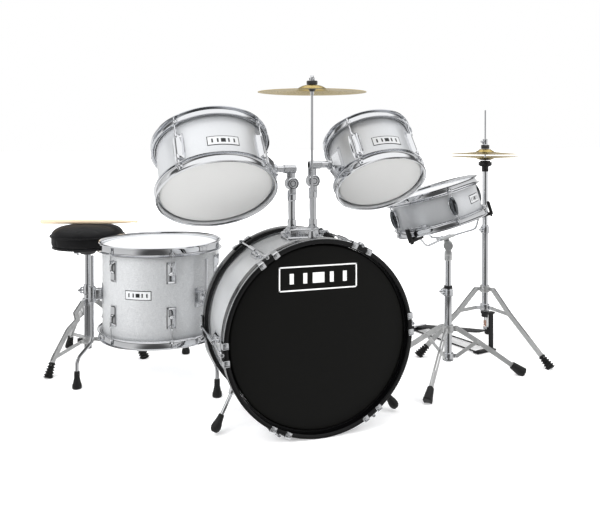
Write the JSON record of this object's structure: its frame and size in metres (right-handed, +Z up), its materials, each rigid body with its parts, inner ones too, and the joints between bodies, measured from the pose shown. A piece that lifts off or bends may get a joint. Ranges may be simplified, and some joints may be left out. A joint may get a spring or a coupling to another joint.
{
  "type": "acoustic drum kit",
  "caption": "Compact acoustic drum kit: bass drum with pedal, rack toms, floor tom, snare on a stand, hi-hat, crash cymbal, round stool and drumstick.",
  "frame": {"origin": "on the floor, under the centre of the whole kit's bounding box", "axes": "+Z up; -Y towards the audience, along the bass drum's axis; +X to the right of someone who faces the bass drum's front head"},
  "size_m": [1.4253, 0.9393, 0.7975],
  "materials": {
    "black_lacquer": "gloss black lacquer with a silver inlay and a black head",
    "black_steel": "satin black",
    "black_vinyl": "soft grained",
    "chrome": "polished",
    "cymbal_brass": "lathed",
    "maple": "plain",
    "satin_steel": "satin",
    "silver_wrap": "smooth satin silver wrap",
    "sparkle_wrap": "silver sparkle wrap"
  },
  "bodies": {
    "drums_and_stand_bases": {"bass_front_hoop": "black_lacquer", "bass_rear_hoop": "black_lacquer", "bass_shell": "sparkle_wrap", "floor_tom_batter_hoop": "chrome", "floor_tom_shell": "sparkle_wrap", "hihat_bottom_cymbal": "cymbal_brass", "hihat_stand_base": "chrome", "pedal_frame": "chrome", "snare_stand_base": "chrome", "throne_base": "chrome"},
    "spur_left": {"spur_left": "chrome"},
    "spur_right": {"spur_right": "chrome"},
    "tom_left_post": {"tom_left_post": "chrome"},
    "tom_left_arm": {"tom_left_arm": "chrome"},
    "tom_left": {"tom_left_shell": "silver_wrap", "tom_left_batter_hoop": "chrome", "tom_left_resonant_hoop": "chrome"},
    "tom_right_post": {"tom_right_post": "chrome"},
    "tom_right_arm": {"tom_right_arm": "chrome"},
    "tom_right": {"tom_right_shell": "silver_wrap", "tom_right_batter_hoop": "chrome", "tom_right_resonant_hoop": "chrome"},
    "crash_rod": {"crash_rod": "chrome"},
    "crash_cymbal": {"crash_cymbal": "cymbal_brass"},
    "floor_tom_leg_1": {"floor_tom_leg_1": "chrome"},
    "floor_tom_leg_2": {"floor_tom_leg_2": "chrome"},
    "floor_tom_leg_3": {"floor_tom_leg_3": "chrome"},
    "snare_stand_leg_collar": {"snare_stand_leg_collar": "chrome"},
    "snare_stand_leg_1": {"snare_stand_leg_1": "satin_steel"},
    "snare_stand_brace_1": {"snare_stand_brace_1": "satin_steel"},
    "snare_stand_leg_2": {"snare_stand_leg_2": "satin_steel"},
    "snare_stand_brace_2": {"snare_stand_brace_2": "satin_steel"},
    "snare_stand_leg_3": {"snare_stand_leg_3": "satin_steel"},
    "snare_stand_brace_3": {"snare_stand_brace_3": "satin_steel"},
    "hihat_stand_leg_collar": {"hihat_stand_leg_collar": "chrome"},
    "hihat_stand_leg_1": {"hihat_stand_leg_1": "satin_steel"},
    "hihat_stand_brace_1": {"hihat_stand_brace_1": "satin_steel"},
    "hihat_stand_leg_2": {"hihat_stand_leg_2": "satin_steel"},
    "hihat_stand_brace_2": {"hihat_stand_brace_2": "satin_steel"},
    "hihat_stand_leg_3": {"hihat_stand_leg_3": "satin_steel"},
    "hihat_stand_brace_3": {"hihat_stand_brace_3": "satin_steel"},
    "throne_brace_collar": {"throne_brace_collar": "chrome"},
    "throne_leg_1": {"throne_leg_1": "satin_steel"},
    "throne_brace_1": {"throne_brace_1": "satin_steel"},
    "throne_leg_2": {"throne_leg_2": "satin_steel"},
    "throne_brace_2": {"throne_brace_2": "satin_steel"},
    "throne_leg_3": {"throne_leg_3": "satin_steel"},
    "throne_brace_3": {"throne_brace_3": "satin_steel"},
    "snare_stand_upper_tube": {"snare_stand_upper_tube": "chrome"},
    "snare_drum": {"snare_stand_basket": "chrome", "snare_shell": "silver_wrap", "snare_batter_hoop": "chrome"},
    "hihat_footboard": {"hihat_footboard": "black_steel"},
    "hihat_pull_rod": {"hihat_pull_rod": "chrome", "hihat_top_cymbal": "cymbal_brass"},
    "throne_post": {"throne_post": "black_steel"},
    "throne_seat": {"throne_seat": "black_vinyl", "drumstick": "maple"},
    "pedal_footboard": {"pedal_footboard": "black_steel"},
    "pedal_beater": {"pedal_beater": "black_steel"}
  },
  "joints": [
    {"name": "spur_left_fold", "type": "hinge", "parent": "drums_and_stand_bases", "child": "spur_left", "pos_m": [-0.2795, -0.2952, 0.0851], "axis": [0.8393, 0, -0.5436], "range_deg": [0, 75]},
    {"name": "spur_right_fold", "type": "hinge", "parent": "drums_and_stand_bases", "child": "spur_right", "pos_m": [0.0631, -0.2952, 0.0851], "axis": [0.8393, 0, 0.5436], "range_deg": [0, 75]},
    {"name": "tom_left_height", "type": "slide", "parent": "drums_and_stand_bases", "child": "tom_left_post", "axis": [0, 0, 1], "range_m": [0, 0.04]},
    {"name": "tom_left_ratchet", "type": "hinge", "parent": "tom_left_post", "child": "tom_left_arm", "pos_m": [-0.1344, -0.2777, 0.5474], "axis": [0, 1, 0], "range_deg": [-12, 12]},
    {"name": "tom_left_tilt", "type": "hinge", "parent": "tom_left_arm", "child": "tom_left", "pos_m": [-0.1782, -0.2777, 0.5813], "axis": [1, 0, 0], "range_deg": [-20, 20]},
    {"name": "tom_right_height", "type": "slide", "parent": "drums_and_stand_bases", "child": "tom_right_post", "axis": [0, 0, 1], "range_m": [0, 0.04]},
    {"name": "tom_right_ratchet", "type": "hinge", "parent": "tom_right_post", "child": "tom_right_arm", "pos_m": [-0.082, -0.2777, 0.5526], "axis": [0, 1, 0], "range_deg": [-12, 12]},
    {"name": "tom_right_tilt", "type": "hinge", "parent": "tom_right_arm", "child": "tom_right", "pos_m": [-0.0382, -0.2777, 0.5907], "axis": [1, 0, 0], "range_deg": [-20, 20]},
    {"name": "crash_height", "type": "slide", "parent": "drums_and_stand_bases", "child": "crash_rod", "axis": [0, 0, 1], "range_m": [0, 0.08]},
    {"name": "crash_spin", "type": "hinge", "parent": "crash_rod", "child": "crash_cymbal", "pos_m": [-0.1082, -0.3472, 0], "axis": [0, 0, 1], "continuous": true},
    {"name": "floor_tom_leg_1_height", "type": "slide", "parent": "drums_and_stand_bases", "child": "floor_tom_leg_1", "axis": [0, 0, 1], "range_m": [0, 0.09]},
    {"name": "floor_tom_leg_2_height", "type": "slide", "parent": "drums_and_stand_bases", "child": "floor_tom_leg_2", "axis": [0, 0, 1], "range_m": [0, 0.09]},
    {"name": "floor_tom_leg_3_height", "type": "slide", "parent": "drums_and_stand_bases", "child": "floor_tom_leg_3", "axis": [0, 0, 1], "range_m": [0, 0.09]},
    {"name": "snare_stand_fold", "type": "slide", "parent": "drums_and_stand_bases", "child": "snare_stand_leg_collar", "axis": [0, 0, 1], "range_m": [0, 0.058]},
    {"name": "snare_stand_leg_1_turn", "type": "hinge", "parent": "snare_stand_leg_collar", "child": "snare_stand_leg_1", "pos_m": [0.33492, -0.17405, 0.134], "axis": [0.723, -0.6909, 0], "range_deg": [-1, 43.4]},
    {"name": "snare_stand_brace_1_turn", "type": "hinge", "parent": "drums_and_stand_bases", "child": "snare_stand_brace_1", "pos_m": [0.33492, -0.17405, 0.058], "axis": [0.723, -0.6909, 0], "range_deg": [-42.26, 1]},
    {"name": "snare_stand_leg_2_turn", "type": "hinge", "parent": "snare_stand_leg_collar", "child": "snare_stand_leg_2", "pos_m": [0.37482, -0.16238, 0.134], "axis": [0.2368, 0.9715, 0], "range_deg": [-1, 43.4]},
    {"name": "snare_stand_brace_2_turn", "type": "hinge", "parent": "drums_and_stand_bases", "child": "snare_stand_brace_2", "pos_m": [0.37482, -0.16238, 0.058], "axis": [0.2368, 0.9715, 0], "range_deg": [-42.26, 1]},
    {"name": "snare_stand_leg_3_turn", "type": "hinge", "parent": "snare_stand_leg_collar", "child": "snare_stand_leg_3", "pos_m": [0.34476, -0.13366, 0.134], "axis": [-0.9598, -0.2807, 0], "range_deg": [-1, 43.4]},
    {"name": "snare_stand_brace_3_turn", "type": "hinge", "parent": "drums_and_stand_bases", "child": "snare_stand_brace_3", "pos_m": [0.34476, -0.13366, 0.058], "axis": [-0.9598, -0.2807, 0], "range_deg": [-42.26, 1]},
    {"name": "hihat_stand_fold", "type": "slide", "parent": "drums_and_stand_bases", "child": "hihat_stand_leg_collar", "axis": [0, 0, 1], "range_m": [0, 0.08]},
    {"name": "hihat_stand_leg_1_turn", "type": "hinge", "parent": "hihat_stand_leg_collar", "child": "hihat_stand_leg_1", "pos_m": [0.54346, 0.00788, 0.195], "axis": [-0.1063, -0.9943, 0], "range_deg": [-1, 25.93]},
    {"name": "hihat_stand_brace_1_turn", "type": "hinge", "parent": "drums_and_stand_bases", "child": "hihat_stand_brace_1", "pos_m": [0.54645, 0.00756, 0.138], "axis": [-0.1063, -0.9943, 0], "range_deg": [-71.8, 1]},
    {"name": "hihat_stand_leg_2_turn", "type": "hinge", "parent": "hihat_stand_leg_collar", "child": "hihat_stand_leg_2", "pos_m": [0.58405, -0.02171, 0.195], "axis": [0.9143, 0.4051, 0], "range_deg": [-1, 25.93]},
    {"name": "hihat_stand_brace_2_turn", "type": "hinge", "parent": "drums_and_stand_bases", "child": "hihat_stand_brace_2", "pos_m": [0.58283, -0.01897, 0.138], "axis": [0.9143, 0.4051, 0], "range_deg": [-71.8, 1]},
    {"name": "hihat_stand_leg_3_turn", "type": "hinge", "parent": "hihat_stand_leg_collar", "child": "hihat_stand_leg_3", "pos_m": [0.58939, 0.02823, 0.195], "axis": [-0.808, 0.5892, 0], "range_deg": [-1, 25.93]},
    {"name": "hihat_stand_brace_3_turn", "type": "hinge", "parent": "drums_and_stand_bases", "child": "hihat_stand_brace_3", "pos_m": [0.58762, 0.02581, 0.138], "axis": [-0.808, 0.5892, 0], "range_deg": [-71.8, 1]},
    {"name": "throne_fold", "type": "slide", "parent": "drums_and_stand_bases", "child": "throne_brace_collar", "axis": [0, 0, 1], "range_m": [0, 0.045]},
    {"name": "throne_leg_1_turn", "type": "hinge", "parent": "drums_and_stand_bases", "child": "throne_leg_1", "pos_m": [-0.59513, 0.28205, 0.1745], "axis": [0.7547, -0.6561, 0], "range_deg": [-1, 16.35]},
    {"name": "throne_brace_1_turn", "type": "hinge", "parent": "throne_brace_collar", "child": "throne_brace_1", "pos_m": [-0.59611, 0.28092, 0.062], "axis": [0.7547, -0.6561, 0], "range_deg": [-1, 41.51]},
    {"name": "throne_leg_2_turn", "type": "hinge", "parent": "drums_and_stand_bases", "child": "throne_leg_2", "pos_m": [-0.55337, 0.29643, 0.1745], "axis": [0.1908, 0.9816, 0], "range_deg": [-1, 16.35]},
    {"name": "throne_brace_2_turn", "type": "hinge", "parent": "throne_brace_collar", "child": "throne_brace_2", "pos_m": [-0.5519, 0.29615, 0.062], "axis": [0.1908, 0.9816, 0], "range_deg": [-1, 41.51]},
    {"name": "throne_leg_3_turn", "type": "hinge", "parent": "drums_and_stand_bases", "child": "throne_leg_3", "pos_m": [-0.5867, 0.32541, 0.1745], "axis": [-0.9455, -0.3256, 0], "range_deg": [-1, 16.35]},
    {"name": "throne_brace_3_turn", "type": "hinge", "parent": "throne_brace_collar", "child": "throne_brace_3", "pos_m": [-0.58719, 0.32683, 0.062], "axis": [-0.9455, -0.3256, 0], "range_deg": [-1, 41.51]},
    {"name": "snare_height", "type": "slide", "parent": "drums_and_stand_bases", "child": "snare_stand_upper_tube", "axis": [0, 0, 1], "range_m": [0, 0.06]},
    {"name": "snare_tilt", "type": "hinge", "parent": "snare_stand_upper_tube", "child": "snare_drum", "pos_m": [0.3515, -0.1567, 0.3606], "axis": [0.4702, 0.8825, 0], "range_deg": [-5, 17]},
    {"name": "hihat_press", "type": "hinge", "parent": "drums_and_stand_bases", "child": "hihat_footboard", "pos_m": [0.50214, 0.28619, 0.0135], "axis": [0.9703, 0.2419, 0], "range_deg": [0, 1.26], "stiffness_Nm_per_rad": 30, "springref_deg": -14.32},
    {"name": "hihat_clash", "type": "slide", "parent": "drums_and_stand_bases", "child": "hihat_pull_rod", "axis": [0, 0, 1], "range_m": [-0.0064, 0]},
    {"name": "throne_height", "type": "slide", "parent": "drums_and_stand_bases", "child": "throne_post", "axis": [0, 0, 1], "range_m": [0, 0.06]},
    {"name": "throne_swivel", "type": "hinge", "parent": "throne_post", "child": "throne_seat", "pos_m": [-0.5784, 0.3013, 0], "axis": [0, 0, 1], "continuous": true},
    {"name": "pedal_press", "type": "hinge", "parent": "drums_and_stand_bases", "child": "pedal_footboard", "pos_m": [-0.1082, 0.1148, 0.022], "axis": [1, 0, 0], "range_deg": [0, 12], "stiffness_Nm_per_rad": 8, "springref_deg": -17.19},
    {"name": "pedal_strike", "type": "hinge", "parent": "drums_and_stand_bases", "child": "pedal_beater", "pos_m": [-0.1082, -0.1132, 0.15], "axis": [1, 0, 0], "range_deg": [0, 47.5]}
  ],
  "couplings": [
    {"joint": "snare_stand_leg_1_turn", "follows": "snare_stand_fold", "rad_per_m": 12.759},
    {"joint": "snare_stand_brace_1_turn", "follows": "snare_stand_fold", "rad_per_m": -12.416},
    {"joint": "snare_stand_leg_2_turn", "follows": "snare_stand_fold", "rad_per_m": 12.759},
    {"joint": "snare_stand_brace_2_turn", "follows": "snare_stand_fold", "rad_per_m": -12.416},
    {"joint": "snare_stand_leg_3_turn", "follows": "snare_stand_fold", "rad_per_m": 12.759},
    {"joint": "snare_stand_brace_3_turn", "follows": "snare_stand_fold", "rad_per_m": -12.416},
    {"joint": "hihat_stand_leg_1_turn", "follows": "hihat_stand_fold", "rad_per_m": 5.439},
    {"joint": "hihat_stand_brace_1_turn", "follows": "hihat_stand_fold", "rad_per_m": -15.445},
    {"joint": "hihat_stand_leg_2_turn", "follows": "hihat_stand_fold", "rad_per_m": 5.439},
    {"joint": "hihat_stand_brace_2_turn", "follows": "hihat_stand_fold", "rad_per_m": -15.445},
    {"joint": "hihat_stand_leg_3_turn", "follows": "hihat_stand_fold", "rad_per_m": 5.439},
    {"joint": "hihat_stand_brace_3_turn", "follows": "hihat_stand_fold", "rad_per_m": -15.445},
    {"joint": "throne_leg_1_turn", "follows": "throne_fold", "rad_per_m": 5.9523},
    {"joint": "throne_brace_1_turn", "follows": "throne_fold", "rad_per_m": 15.712},
    {"joint": "throne_leg_2_turn", "follows": "throne_fold", "rad_per_m": 5.9523},
    {"joint": "throne_brace_2_turn", "follows": "throne_fold", "rad_per_m": 15.712},
    {"joint": "throne_leg_3_turn", "follows": "throne_fold", "rad_per_m": 5.9523},
    {"joint": "throne_brace_3_turn", "follows": "throne_fold", "rad_per_m": 15.712},
    {"joint": "hihat_clash", "follows": "hihat_press", "m_per_rad": -0.282},
    {"joint": "pedal_strike", "follows": "pedal_press", "ratio": 3.9167}
  ]
}
